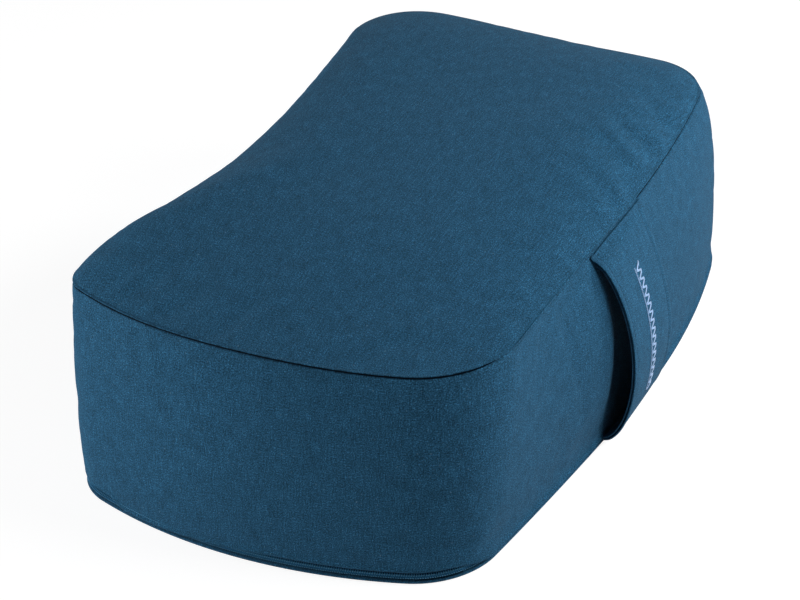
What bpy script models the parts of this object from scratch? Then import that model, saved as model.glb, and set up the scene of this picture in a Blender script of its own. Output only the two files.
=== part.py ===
"""Waisted kneeling cushion: a sewn cover with a zip and a carry strap, an inner bag and its husks.

The long axis lies along Y, the end with the zip is at -Y, and the strap is on the +X side.
The origin is on the floor, under the middle of the base panel's length. All sizes are in metres.
"""

import math

import bmesh
import bpy
from mathutils import Vector

for item in list(bpy.data.objects):
    bpy.data.objects.remove(item)

# Clearance that touching pieces keep
GAP = 0.0003

# Top seam, seen from above: two round lobes, a deep waist on the left and a filled one on the right
TOP_LENGTH = 0.420
TOP_NEAR_HALF_WIDTH = 0.145
TOP_FAR_HALF_WIDTH = 0.126
TOP_LEFT_WAIST = 0.1115
TOP_RIGHT_WAIST = 0.141
TOP_NEAR_LEFT_CORNER = 0.023
TOP_NEAR_RIGHT_CORNER = 0.063
TOP_FAR_CORNER = 0.054
TOP_NEAR_END_ARC = 0.334
TOP_FAR_END_ARC = 0.700

# Base seam: cut like the top panel, but the settled husks spread its ends and its right side
END_SPREAD = 0.023
LOBE_TUCK = 0.004
LEFT_WAIST_TUCK = 0.0005
RIGHT_WAIST_SPREAD = 0.005
BASE_LENGTH = TOP_LENGTH + 2 * END_SPREAD
BASE_NEAR_HALF_WIDTH = TOP_NEAR_HALF_WIDTH - LOBE_TUCK
BASE_FAR_HALF_WIDTH = TOP_FAR_HALF_WIDTH - LOBE_TUCK
BASE_LEFT_WAIST = TOP_LEFT_WAIST - LEFT_WAIST_TUCK
BASE_RIGHT_WAIST = TOP_RIGHT_WAIST + RIGHT_WAIST_SPREAD
BASE_NEAR_LEFT_CORNER = 0.045
BASE_NEAR_RIGHT_CORNER = 0.053
BASE_FAR_CORNER = 0.054
BASE_NEAR_END_ARC = 0.334
BASE_FAR_END_ARC = 0.700

# Heights and fullness of the stuffed body
WAIST_SHIFT = 0.0113
SEAM_HEIGHT = 0.1362
SEAM_TILT = 0.0060
SEAM_TWIST = 0.0026
BAND_BELLY = 0.0033
CROWN_HEIGHT = 0.0367
CROWN_LEAN = -0.011
CROWN_RISE = 0.011
CROWN_FALL = 0.018
CROWN_FLATNESS = 5.1
CROWN_EDGE = 0.81

# Cloth: single thickness, and the doubled margin where a seam allowance is pressed back
CLOTH = 0.0010
MARGIN_CLOTH = 2 * CLOTH
MARGIN_WIDTH = 0.008
MARGIN_STEP = 0.0004
BASE_EDGE_ROUND = 0.0008

# Zip: two rows of a fine coil in a gap between the band's folded hem and the base panel
COIL_ROW = 0.0018
COIL_THICK = 0.0012
COIL_CLEARANCE = 0.0006
CHAIN_GAP = 0.0008
TAPE_THICK = 0.0005
TAPE_RISE = 0.0016
TAPE_FOOT = 0.0080
STOP_LENGTH = 0.0030

# Zip slider and its pull tab
SLIDER_LENGTH = 0.0100
PLATE_THICK = 0.0010
PLATE_CLEARANCE = 0.00035
KEEPER_THICK = 0.0008
KEEPER_CLEARANCE = 0.00035
KEEPER_PLAY = 0.0006
WEB_PLAY = 0.00025
BRIDGE_SPAN = 0.0056
BRIDGE_BAR = 0.0008
TAB_THICK = 0.0009
TAB_LENGTH = 0.0190
TAB_WIDTH = 0.0042
TAB_FRAME = 0.0012
TAB_PLAY = 0.0002
WINDOW_PLAY = 0.0008

# Carry strap: two layers that bow off the band and leave room for a hand
STRAP_CENTRE_Y = 0.0025
STRAP_WIDTH = 0.072
STRAP_CLOTH = 0.0010
STRAP_NEAR_BOW = 0.0268
STRAP_FAR_BOW = 0.0178
STRAP_NEAR_FULLNESS = 0.52
STRAP_FAR_FULLNESS = 0.75
STRAP_FAR_SAG = 1.25
STRAP_TOP_DROP = 0.0012
STRAP_BASE_RISE = 0.0025
TOPSTITCH_INSET = 0.0055
STRAP_THREAD = 0.0003
STRAP_CLEARANCE = 0.0005
ORNAMENT_WIDTH = 0.007
ORNAMENT_LENGTH = 0.087
ORNAMENT_PITCH = 0.0029

# Seam threads inside the cover
SEAM_THREAD = 0.00035

# Inner bag and what fills it
LINER_CLOTH = 0.0006
LINER_SEAM_DROP = 0.0030
LINER_SLIDER_ROOM = 0.0008
LINER_TAPE_ROOM = 0.0017

# How finely the outlines are divided
END_STEPS = 3
CORNER_STEPS = 8
SIDE_STEPS = 3
QUARTER_STEPS = END_STEPS + CORNER_STEPS + SIDE_STEPS
STATIONS = 4 * QUARTER_STEPS
MARGIN_RING = 1 - MARGIN_WIDTH / TOP_NEAR_HALF_WIDTH
RING_STEP = 0.003
CROWN_RINGS = (1.0, 0.99, 0.97, MARGIN_RING, MARGIN_RING - RING_STEP, 0.90, 0.80, 0.60, 0.32)
LINER_RINGS = (1.0, 0.97, 0.91, 0.78, 0.42)
BAND_ROWS = (0.25, 0.5, 0.75)
BASE_RING = 0.5
STRAP_STEPS = 22
STRAP_COLUMNS = 6
THREAD_SIDES = 5
SLIDER_STEPS = 4
SLOPE_STEP = 0.001
PATH_STEP = 0.01
SMOOTH_ANGLE = math.radians(40)

PETROL = (0.022, 0.075, 0.135)
PETROL_THREAD = (0.016, 0.055, 0.105)
PALE_BLUE = (0.35, 0.52, 0.80)
ECRU = (0.62, 0.56, 0.45)
HUSK = (0.13, 0.075, 0.04)
NICKEL = (0.45, 0.46, 0.47)


def mix(a, b, share):
    return a * (1 - share) + b * share


def spread(start, end, steps):
    return [start + (end - start) * i / steps for i in range(steps + 1)]


def material(name, colour, roughness, metallic=0.0):
    made = bpy.data.materials.new(name)
    made.use_nodes = True
    shader = made.node_tree.nodes["Principled BSDF"]
    shader.inputs["Base Color"].default_value = (*colour, 1.0)
    shader.inputs["Roughness"].default_value = roughness
    shader.inputs["Metallic"].default_value = metallic
    return made


def loft(name, rings, finish, closed=False, tips=None, smooth=True):
    """A solid skinned over rings of equally many points: a closed loop, or ends capped or run to tips."""
    mesh = bmesh.new()
    rows = [[mesh.verts.new(point) for point in ring] for ring in rings]
    pairs = list(zip(rows, rows[1:]))
    if closed:
        pairs.append((rows[-1], rows[0]))
    for low, high in pairs:
        for i in range(len(low)):
            j = (i + 1) % len(low)
            if low[i].co.z > high[i].co.z:
                halves = (low[i], low[j], high[i]), (low[j], high[j], high[i])
            else:
                halves = (low[i], low[j], high[j]), (low[i], high[j], high[i])
            for half in halves:
                mesh.faces.new(half)
    if tips:
        for row, tip in ((rows[0], tips[0]), (rows[-1], tips[1])):
            point = mesh.verts.new(tip)
            for i in range(len(row)):
                mesh.faces.new((row[i], row[(i + 1) % len(row)], point))
    elif not closed:
        mesh.faces.new(rows[0])
        mesh.faces.new(rows[-1])
    bmesh.ops.recalc_face_normals(mesh, faces=mesh.faces)
    data = bpy.data.meshes.new(name)
    mesh.to_mesh(data)
    mesh.free()
    if smooth:
        data.shade_smooth()
        data.set_sharp_from_angle(angle=SMOOTH_ANGLE)
    made = bpy.data.objects.new(name, data)
    made.data.materials.append(finish)
    bpy.context.scene.collection.objects.link(made)
    return made


class Quarter:
    """One quarter of an outline: half an end arc, a corner arc and half a side arc, all tangent."""

    def __init__(self, half_length, half_width, waist, corner, end):
        self.corner = corner
        self.end = end
        self.cx = half_width - corner
        self.end_y = half_length - end
        self.cy = self.end_y + math.sqrt((end - corner) ** 2 - self.cx ** 2)
        reach = waist - self.cx
        slack = corner - reach
        if abs(slack) < 1e-6:
            slack = 1e-6
        self.waist = waist
        self.side = (reach ** 2 + self.cy ** 2 - corner ** 2) / (2 * slack)
        self.bend = math.copysign(1.0, self.side)
        self.end_turn = math.atan2(self.cx, self.cy - self.end_y)
        self.side_turn = math.atan2(self.cy, abs(self.side + reach))
        self.corner_start = math.pi / 2 - self.end_turn
        self.corner_stop = -self.bend * self.side_turn

    def stations(self):
        """Points and outward normals, from the middle of the end round the corner to the waist."""
        made = []
        for turn in spread(0, self.end_turn, END_STEPS)[:-1]:
            normal = Vector((math.sin(turn), math.cos(turn)))
            made.append((Vector((0, self.end_y)) + normal * self.end, normal))
        for turn in spread(self.corner_start, self.corner_stop, CORNER_STEPS)[:-1]:
            normal = Vector((math.cos(turn), math.sin(turn)))
            made.append((Vector((self.cx, self.cy)) + normal * self.corner, normal))
        for turn in spread(self.side_turn, 0, SIDE_STEPS):
            point = Vector((self.waist + self.side * (1 - math.cos(turn)), abs(self.side) * math.sin(turn)))
            made.append((point, Vector((math.cos(turn), -self.bend * math.sin(turn)))))
        return made


def outline(quarters):
    """A whole outline, once round from the middle of the near end by way of the right side."""
    made = []
    flips = ((1, -1, False), (1, 1, True), (-1, 1, False), (-1, -1, True))
    for part, (flip_x, flip_y, backwards) in zip(quarters, flips):
        points = [
            (Vector((p.x * flip_x, p.y * flip_y + WAIST_SHIFT)), Vector((n.x * flip_x, n.y * flip_y)))
            for p, n in part.stations()
        ]
        if backwards:
            points.reverse()
        made += points[:-1]
    return made


def near(length, *rest):
    return Quarter(length / 2 + WAIST_SHIFT, *rest)


def far(length, *rest):
    return Quarter(length / 2 - WAIST_SHIFT, *rest)


ZIP_CORNER = near(
    BASE_LENGTH, BASE_NEAR_HALF_WIDTH, BASE_LEFT_WAIST, BASE_NEAR_LEFT_CORNER, BASE_NEAR_END_ARC)
TOP = outline((
    near(TOP_LENGTH, TOP_NEAR_HALF_WIDTH, TOP_RIGHT_WAIST, TOP_NEAR_RIGHT_CORNER, TOP_NEAR_END_ARC),
    far(TOP_LENGTH, TOP_FAR_HALF_WIDTH, TOP_RIGHT_WAIST, TOP_FAR_CORNER, TOP_FAR_END_ARC),
    far(TOP_LENGTH, TOP_FAR_HALF_WIDTH, TOP_LEFT_WAIST, TOP_FAR_CORNER, TOP_FAR_END_ARC),
    near(TOP_LENGTH, TOP_NEAR_HALF_WIDTH, TOP_LEFT_WAIST, TOP_NEAR_LEFT_CORNER, TOP_NEAR_END_ARC),
))
BASE = outline((
    near(BASE_LENGTH, BASE_NEAR_HALF_WIDTH, BASE_RIGHT_WAIST, BASE_NEAR_RIGHT_CORNER, BASE_NEAR_END_ARC),
    far(BASE_LENGTH, BASE_FAR_HALF_WIDTH, BASE_RIGHT_WAIST, BASE_FAR_CORNER, BASE_FAR_END_ARC),
    far(BASE_LENGTH, BASE_FAR_HALF_WIDTH, BASE_LEFT_WAIST, BASE_FAR_CORNER, BASE_FAR_END_ARC),
    ZIP_CORNER,
))

# Heights that follow from the sizes above
BASE_RIM = MARGIN_CLOTH
BAND_FOOT = BASE_RIM + GAP
ZIP_OPENING = 2 * COIL_ROW + CHAIN_GAP + 2 * COIL_CLEARANCE
ZIP_HEM = BASE_RIM + ZIP_OPENING
HEM_TOP = ZIP_HEM + MARGIN_WIDTH
CHAIN_Z = BASE_RIM + ZIP_OPENING / 2
TAPE_TOP = HEM_TOP + TAPE_RISE
TAPE_FLOOR = BASE_RIM + GAP + TAPE_THICK
LINER_FLOOR = TAPE_FLOOR + 2 * GAP
LINER_INNER_FLOOR = CLOTH + GAP

# Depths behind the cover's face, in the order in which the pieces lie
COIL_RECESS = MARGIN_CLOTH - COIL_THICK
TAPE_DEPTH = MARGIN_CLOTH + GAP
TAPE_BACK = TAPE_DEPTH + TAPE_THICK
KEEPER_DEPTH = TAPE_BACK + KEEPER_PLAY
LINER_DEPTH = MARGIN_CLOTH + 2 * GAP
LINER_SEAM_DEPTH = MARGIN_CLOTH + 2 * SEAM_THREAD + 3 * GAP
LINER_FOOT_DEPTH = KEEPER_DEPTH + KEEPER_THICK + LINER_SLIDER_ROOM
LINER_MARGIN = TAPE_DEPTH + TAPE_FOOT + LINER_TAPE_ROOM

# The zip runs along the near end and both corners beside it
ZIP_REACH = END_STEPS + CORNER_STEPS


def seam_level(x, y):
    """The top seam is a little higher at the far end, and its corners twist out of level."""
    turn = math.atan2(y / TOP_LENGTH, x / (TOP_NEAR_HALF_WIDTH + TOP_FAR_HALF_WIDTH))
    return SEAM_HEIGHT + SEAM_TILT * math.sin(turn) + SEAM_TWIST * math.sin(3 * turn)


def seam_height(i):
    point = TOP[i % STATIONS][0]
    return seam_level(point.x, point.y)


def wall(i, z, depth=0.0):
    """A point of the side band at a station: upright at the hem, then leaning to the top seam."""
    base, base_normal = BASE[i % STATIONS]
    top, top_normal = TOP[i % STATIONS]
    share = max(0.0, (z - HEM_TOP) / (seam_height(i) - HEM_TOP))
    normal = mix(base_normal, top_normal, share).normalized()
    belly = BAND_BELLY * 4 * share * (1 - share)
    point = mix(base, top, share) + normal * (belly - depth)
    return Vector((point.x, point.y, z))


def crown(i, ring, depth=0.0):
    """A point of the top panel: ring 1 is the seam and ring 0 the middle of the crown."""
    rim, normal = TOP[i % STATIONS]
    edge = seam_height(i)

    def height(share):
        place = rim * share
        along = 2 * place.y / TOP_LENGTH
        across = 2 * place.x / (TOP_NEAR_HALF_WIDTH + TOP_FAR_HALF_WIDTH)
        full = CROWN_HEIGHT + CROWN_LEAN * across + CROWN_RISE * along - CROWN_FALL * along ** 2
        rise = full * (1 - share ** CROWN_FLATNESS) ** CROWN_EDGE
        return mix(SEAM_HEIGHT, edge, share ** 2) + rise

    tilt = Vector((normal.x, normal.y, 0))
    if ring < 1:
        step = min(SLOPE_STEP, 1 - ring)
        slope = (height(ring + step) - height(ring)) / (step * rim.dot(normal))
        tilt = Vector((-slope * normal.x, -slope * normal.y, 1)).normalized()
    place = rim * ring
    return Vector((place.x, place.y, height(ring))) - tilt * depth


def summit(depth):
    return Vector((0, 0, SEAM_HEIGHT + CROWN_HEIGHT - depth))


def ring_of(point, *rest):
    """One ring right round the cushion."""
    return [point(i, *rest) for i in range(STATIONS)]


def floor_point(i, inset, z):
    """A point near the base outline, inset from it."""
    point, normal = BASE[i % STATIONS]
    place = point - normal * inset
    return Vector((place.x, place.y, z))


def in_zip(i):
    place = i % STATIONS
    return place <= ZIP_REACH or place >= STATIONS - ZIP_REACH


def band_foot(i):
    return ZIP_HEM if in_zip(i) else BAND_FOOT


def crown_cap(first, second):
    """The two faces of a crowned panel, as rings from the upper middle round the rim to the lower one."""
    upper = [ring_of(crown, r, first(r)) for r in reversed(CROWN_RINGS)]
    lower = [ring_of(crown, r, second(r)) for r in CROWN_RINGS]
    return upper + lower


# Cover: top panel
def cover_inner(ring):
    return MARGIN_CLOTH if ring >= MARGIN_RING else CLOTH


def cover_top_panel(cloth):
    rings = crown_cap(lambda r: 0.0, cover_inner)
    for ring in rings[len(CROWN_RINGS):]:
        for i, point in enumerate(ring):
            point.z = max(point.z, seam_height(i))
    return loft("cover_top_panel", rings, cloth, tips=(summit(0), summit(CLOTH)))


# Cover: side band, with doubled margins along both edges
def cover_side_band(cloth):
    def row(share_or_foot, depth):
        return [wall(i, share_or_foot(i), depth) for i in range(STATIONS)]

    def head(drop):
        return lambda i: seam_height(i) - GAP - drop

    def between(share):
        return lambda i: mix(HEM_TOP, seam_height(i) - MARGIN_WIDTH, share)

    outer = [row(band_foot, 0), row(lambda i: HEM_TOP, 0)]
    outer += [row(between(share), 0) for share in BAND_ROWS]
    outer += [row(head(MARGIN_WIDTH), 0), row(head(0), 0)]
    inner = [row(head(0), MARGIN_CLOTH), row(head(MARGIN_WIDTH), MARGIN_CLOTH)]
    inner += [row(head(MARGIN_WIDTH + MARGIN_STEP), CLOTH)]
    inner += [row(between(share), CLOTH) for share in reversed(BAND_ROWS)]
    inner += [row(lambda i: HEM_TOP + MARGIN_STEP, CLOTH), row(lambda i: HEM_TOP, MARGIN_CLOTH)]
    inner += [row(band_foot, MARGIN_CLOTH)]
    return loft("cover_side_band", outer + inner, cloth, closed=True)


# Cover: base panel, flat on the floor
def cover_base_panel(cloth):
    rings = [
        [point.to_3d() * BASE_RING for point, _ in BASE],
        ring_of(floor_point, BASE_EDGE_ROUND, 0.0),
        ring_of(floor_point, 0.0, BASE_EDGE_ROUND),
        ring_of(floor_point, 0.0, BASE_RIM),
        ring_of(floor_point, MARGIN_WIDTH, BASE_RIM),
        ring_of(floor_point, MARGIN_WIDTH + MARGIN_STEP, CLOTH),
        [point.to_3d() * BASE_RING + Vector((0, 0, CLOTH)) for point, _ in BASE],
    ]
    return loft("cover_base_panel", rings, cloth, tips=(Vector((0, 0, 0)), Vector((0, 0, CLOTH))))


# Seam threads, in the corner behind each doubled margin
def seam_thread(name, indices, point, height, thread, closed):
    depth = MARGIN_CLOTH + GAP + SEAM_THREAD
    rings = []
    for i in indices:
        middle = height(i)
        ring = []
        for turn in spread(0, 2 * math.pi, THREAD_SIDES)[:-1]:
            out = SEAM_THREAD * math.cos(turn)
            ring.append(point(i, middle + SEAM_THREAD * math.sin(turn), depth - out))
        rings.append(ring)
    return loft(name, rings, thread, closed=closed)


def upright(i, z, depth):
    return floor_point(i, depth, z)


# Zip: stations along the chain, and sections drawn as (depth, height) corners
def zip_sweep(name, first, last, corners, finish):
    rings = [[floor_point(i, depth, z) for depth, z in corners] for i in range(first, last + 1)]
    return loft(name, rings, finish, smooth=False)


def box_corners(depth_a, depth_b, low, high):
    return ((depth_a, low), (depth_b, low), (depth_b, high), (depth_a, high))


def zip_parts(tape, coil, metal):
    first, last = -ZIP_REACH, ZIP_REACH
    half_gap = CHAIN_GAP / 2
    low_row, high_row = CHAIN_Z - half_gap, CHAIN_Z + half_gap
    face, back, foot = TAPE_DEPTH, TAPE_BACK, TAPE_FLOOR - TAPE_THICK
    zip_sweep("zip_tape_band_side", first, last, box_corners(face, back, high_row, TAPE_TOP), tape)
    bend = ((face, low_row), (face, foot), (face + TAPE_FOOT, foot), (face + TAPE_FOOT, TAPE_FLOOR),
            (back, TAPE_FLOOR), (back, low_row))
    zip_sweep("zip_tape_base_side", first, last, bend, tape)
    chamfer = COIL_THICK / 3
    rear = MARGIN_CLOTH
    for name, low, high in (("zip_coil_band_side", high_row, high_row + COIL_ROW),
                            ("zip_coil_base_side", low_row - COIL_ROW, low_row)):
        bead = ((rear, low), (rear, high), (COIL_RECESS + chamfer, high),
                (COIL_RECESS, high - chamfer), (COIL_RECESS, low + chamfer), (COIL_RECESS + chamfer, low))
        zip_sweep(name, first + 1, last - 1, bead, coil)
    block = box_corners(COIL_RECESS, rear, CHAIN_Z - COIL_ROW, CHAIN_Z + COIL_ROW)
    for name, coil_end, tape_end in (("zip_stop_closed_end", first + 1, first),
                                     ("zip_stop_open_end", last - 1, last)):
        start, stop = floor_point(coil_end, 0, 0), floor_point(tape_end, 0, 0)
        reach = (stop - start).length
        rings = []
        for away in (GAP, GAP + STOP_LENGTH):
            share = away / reach
            rings.append([
                mix(floor_point(coil_end, depth, z), floor_point(tape_end, depth, z), share)
                for depth, z in block
            ])
        loft(name, rings, metal, smooth=False)


# Slider: it rides round the near left corner, so every face of it is an arc about that corner
SLIDER_HINGE = Vector((-ZIP_CORNER.cx, WAIST_SHIFT - ZIP_CORNER.cy, CHAIN_Z))
CORNER_STEP = (ZIP_CORNER.corner_start - ZIP_CORNER.corner_stop) / CORNER_STEPS
SLIDER_MARGIN = (SLIDER_LENGTH / 2 + 2 * GAP) / BASE_NEAR_LEFT_CORNER
SLIDER_REST = ZIP_CORNER.corner_stop + CORNER_STEP + SLIDER_MARGIN
SLIDER_TRAVEL = ZIP_CORNER.corner_start - SLIDER_REST - SLIDER_MARGIN
PLATE_INNER = BASE_NEAR_LEFT_CORNER - COIL_RECESS + GAP
PLATE_OUTER = PLATE_INNER + PLATE_THICK
PLATE_HEIGHT = ZIP_OPENING - 2 * PLATE_CLEARANCE
KEEPER_OUTER = BASE_NEAR_LEFT_CORNER - KEEPER_DEPTH
KEEPER_HEIGHT = 2 * (CHAIN_Z - TAPE_FLOOR - KEEPER_CLEARANCE)
WEB_THICK = CHAIN_GAP - 2 * WEB_PLAY
BRIDGE_RISE = BRIDGE_BAR + TAB_THICK + 2 * GAP
BRIDGE_WIDTH = TAB_WIDTH - 2 * TAB_FRAME - 2 * TAB_PLAY
TAB_WINDOW = BRIDGE_SPAN / 2 + WINDOW_PLAY


def polar(radius, turn, z=0.0):
    """A point about the slider's hinge; a turn of 0 looks along -X and grows towards the near end."""
    return Vector((-radius * math.cos(turn), -radius * math.sin(turn), z))


def zip_slider(metal):
    half = SLIDER_LENGTH / 2 / BASE_NEAR_LEFT_CORNER
    inner = KEEPER_OUTER - KEEPER_THICK
    plate, keeper, web = PLATE_HEIGHT / 2, KEEPER_HEIGHT / 2, WEB_THICK / 2
    section = (
        (inner, -keeper), (KEEPER_OUTER, -keeper), (KEEPER_OUTER, -web), (PLATE_INNER, -web),
        (PLATE_INNER, -plate), (PLATE_OUTER, -plate), (PLATE_OUTER, plate), (PLATE_INNER, plate),
        (PLATE_INNER, web), (KEEPER_OUTER, web), (KEEPER_OUTER, keeper), (inner, keeper),
    )
    rings = [
        [polar(radius, SLIDER_REST + turn, z) for radius, z in section]
        for turn in spread(-half, half, SLIDER_STEPS)
    ]
    body = loft("zip_slider", rings, metal, smooth=False)
    body.location = SLIDER_HINGE
    add_bridge(body, metal)
    return body


def tangent_point(along, out, z):
    """A point beside the slider: along its travel, out from the plate's face, and up."""
    outward = polar(1, SLIDER_REST)
    forward = Vector((-outward.y, outward.x, 0))
    return outward * (PLATE_OUTER + out) + forward * along + Vector((0, 0, z))


def add_bridge(body, metal):
    """The arch over the plate that the pull tab hangs from, joined to the plate."""
    out, bar, sunk = BRIDGE_SPAN / 2, BRIDGE_BAR, -PLATE_THICK / 2
    arch = (
        (-out, sunk), (-out, BRIDGE_RISE), (out, BRIDGE_RISE), (out, sunk),
        (out - bar, sunk), (out - bar, BRIDGE_RISE - bar), (bar - out, BRIDGE_RISE - bar), (bar - out, sunk),
    )
    rings = [[tangent_point(a, o, z) for a, o in arch] for z in (-BRIDGE_WIDTH / 2, BRIDGE_WIDTH / 2)]
    bridge = loft("bridge_cutter", rings, metal, smooth=False)
    bridge.location = SLIDER_HINGE
    bridge.hide_render = True
    bridge.display_type = "WIRE"
    join = body.modifiers.new("Bridge", "BOOLEAN")
    join.operation = "UNION"
    join.solver = "EXACT"
    join.object = bridge


def zip_pull_tab(metal):
    """A flat tab whose pivot bar passes under the bridge; it lies towards the waist at rest."""
    lift = GAP + TAB_THICK / 2
    pivot = tangent_point(0, lift, 0)
    bar, side, tip = TAB_THICK / 2, TAB_WIDTH / 2, TAB_LENGTH
    window = bar + TAB_WINDOW
    hole = side - TAB_FRAME
    outer = ((-bar, -side), (window / 2, -side), (tip - side, -side), (tip, -side / 2),
             (tip, side / 2), (tip - side, side), (window / 2, side), (-bar, side))
    inner = ((bar, -hole), (window / 2, -hole), (window, -hole), (window, -hole / 2),
             (window, hole / 2), (window, hole), (window / 2, hole), (bar, hole))
    rings = []
    for contour, out in ((outer, -bar), (outer, bar), (inner, bar), (inner, -bar)):
        rings.append([tangent_point(-a, lift + out, z) - pivot for a, z in contour])
    tab = loft("zip_pull_tab", rings, metal, closed=True, smooth=False)
    tab.location = SLIDER_HINGE + pivot
    return tab


# Carry strap on the right side
def side_x(stations, y):
    """How far out the faceted right side of an outline is at a place along the cushion."""
    right = stations[END_STEPS + CORNER_STEPS:2 * QUARTER_STEPS - END_STEPS - CORNER_STEPS + 1]
    for (a, _), (b, _) in zip(right, right[1:]):
        if a.y <= y <= b.y:
            return mix(a.x, b.x, (y - a.y) / (b.y - a.y))
    return right[0][0].x


def strap_seam(y):
    return seam_level(side_x(TOP, y), y)


def band_x(y, z):
    share = min(1.0, max(0.0, (z - HEM_TOP) / (strap_seam(y) - HEM_TOP)))
    return mix(side_x(BASE, y), side_x(TOP, y), share) + BAND_BELLY * 4 * share * (1 - share)


def strap_path(u, v):
    """The strap's outer face in the plane across the cushion: u from top to base, v from near to far."""
    y = STRAP_CENTRE_Y + STRAP_WIDTH * (v - 0.5)
    near_bow = STRAP_NEAR_BOW * math.sin(math.pi * u) ** STRAP_NEAR_FULLNESS
    far_bow = STRAP_FAR_BOW * math.sin(math.pi * u ** STRAP_FAR_SAG) ** STRAP_FAR_FULLNESS
    bow = mix(near_bow, far_bow, v)
    top, base = strap_seam(y) - STRAP_TOP_DROP, STRAP_BASE_RISE
    return Vector((mix(side_x(TOP, y), side_x(BASE, y), u) + STRAP_CLEARANCE + bow, y, mix(top, base, u)))


def strap_point(u, v, depth):
    """A point under the strap's outer face; the ends stop short of the band."""
    before, after = strap_path(max(0, u - PATH_STEP), v), strap_path(min(1, u + PATH_STEP), v)
    run = after - before
    inward = Vector((run.z, 0, -run.x)).normalized()
    place = strap_path(u, v) + inward * depth
    place.x = max(place.x, band_x(place.y, place.z) + STRAP_CLEARANCE)
    return place


def strap_layer(name, first, second, cloth):
    run = spread(0, 1, STRAP_STEPS)
    section = [(u, first) for u in run] + [(u, second) for u in reversed(run)]
    rings = [[strap_point(u, v, depth) for u, depth in section] for v in spread(0, 1, STRAP_COLUMNS)]
    return loft(name, rings, cloth)


def strap_thread(name, path, thread):
    """A thread on the strap's outer face, through (u, v) places."""
    rings = []
    for u, v in path:
        wide = STRAP_THREAD / STRAP_WIDTH
        low, high = -GAP, -GAP - 2 * STRAP_THREAD
        rings.append([strap_point(u, v - wide, low), strap_point(u, v + wide, low),
                      strap_point(u, v + wide, high), strap_point(u, v - wide, high)])
    return loft(name, rings, thread)


def strap_parts(cloth, thread, pale):
    strap_layer("strap_outer", 0, STRAP_CLOTH, cloth)
    strap_layer("strap_lining", STRAP_CLOTH + GAP, 2 * STRAP_CLOTH + GAP, cloth)
    inset = TOPSTITCH_INSET / STRAP_WIDTH
    run = spread(0, 1, STRAP_STEPS)[1:-1]
    strap_thread("strap_topstitch_near", [(u, inset) for u in run], thread)
    strap_thread("strap_topstitch_far", [(u, 1 - inset) for u in run], thread)
    swing = ORNAMENT_WIDTH / 2 / STRAP_WIDTH
    reach = ORNAMENT_LENGTH / 2 / SEAM_HEIGHT
    places = spread(0.5 - reach, 0.5 + reach, round(ORNAMENT_LENGTH / ORNAMENT_PITCH))
    strap_thread("strap_ornament_stitch", [(u, 0.5 + swing * (-1) ** i) for i, u in enumerate(places)], pale)


# Inner bag: three panels, drawn in at its seams to leave room for the cover's threads and zip
def liner_depth(ring):
    return LINER_SEAM_DEPTH if ring == 1.0 else LINER_DEPTH


def bag_cap(first):
    """A crowned face of the inner bag or the husks, from its rim to the middle."""
    rings = [ring_of(crown, ring, liner_depth(ring) + first) for ring in LINER_RINGS]
    for point in rings[0]:
        point.z -= LINER_SEAM_DROP
    return rings


def bag_wall(first, foot, head_gap):
    """An upright face of the inner bag or the husks, from its foot to the top seam."""
    def row(height, depth):
        return [wall(i, height(i), depth + first) for i in range(STATIONS)]

    rows = [row(lambda i: foot, LINER_FOOT_DEPTH), row(lambda i: ZIP_HEM + 2 * GAP, LINER_FOOT_DEPTH)]
    rows.append(row(lambda i: TAPE_TOP, TAPE_BACK + GAP))
    rows += [row(lambda i, s=s: mix(HEM_TOP + MARGIN_WIDTH, seam_height(i) - MARGIN_WIDTH, s), LINER_DEPTH)
             for s in (0.5, 1.0)]
    rows.append(row(lambda i: seam_height(i) - LINER_SEAM_DROP - head_gap, LINER_SEAM_DEPTH))
    return rows


def bag_floor(first):
    """The underside of the inner bag or the husks, from its edge to the middle."""
    return [
        ring_of(floor_point, LINER_FOOT_DEPTH + first, LINER_FLOOR + first),
        ring_of(floor_point, LINER_MARGIN + first, LINER_FLOOR + first),
        ring_of(floor_point, LINER_MARGIN + MARGIN_WIDTH + first, LINER_INNER_FLOOR + first),
    ]


def inner_bag(cotton, husk):
    outer, inner, core = 0.0, LINER_CLOTH, LINER_CLOTH + GAP
    rings = list(reversed(bag_cap(outer))) + bag_cap(inner)
    loft("liner_top_panel", rings, cotton, tips=(summit(LINER_DEPTH), summit(LINER_DEPTH + LINER_CLOTH)))
    foot = LINER_FLOOR + LINER_CLOTH + GAP
    rings = bag_wall(outer, foot, GAP) + list(reversed(bag_wall(inner, foot, GAP)))
    loft("liner_side_band", rings, cotton, closed=True)
    rings = list(reversed(bag_floor(outer))) + bag_floor(inner)
    tips = (Vector((0, 0, LINER_INNER_FLOOR)), Vector((0, 0, LINER_INNER_FLOOR + LINER_CLOTH)))
    loft("liner_base_panel", rings, cotton, tips=tips)
    rings = list(reversed(bag_floor(core))) + bag_wall(core, foot + GAP, GAP) + bag_cap(core)
    tips = (Vector((0, 0, LINER_INNER_FLOOR + core)), summit(LINER_DEPTH + core))
    loft("husk_filling", rings, husk, tips=tips)


canvas = material("Petrol cotton canvas", PETROL, 0.9)
matching_thread = material("Petrol sewing thread", PETROL_THREAD, 0.7)
ornament_thread = material("Pale blue satin thread", PALE_BLUE, 0.5)
zip_cloth = material("Petrol zip tape", PETROL_THREAD, 0.85)
zip_nylon = material("Petrol zip coil", PETROL_THREAD, 0.4)
zip_metal = material("Nickel zip metal", NICKEL, 0.35, 1.0)
bag_cotton = material("Natural cotton lining", ECRU, 0.95)
husks = material("Buckwheat husks", HUSK, 0.8)

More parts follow.
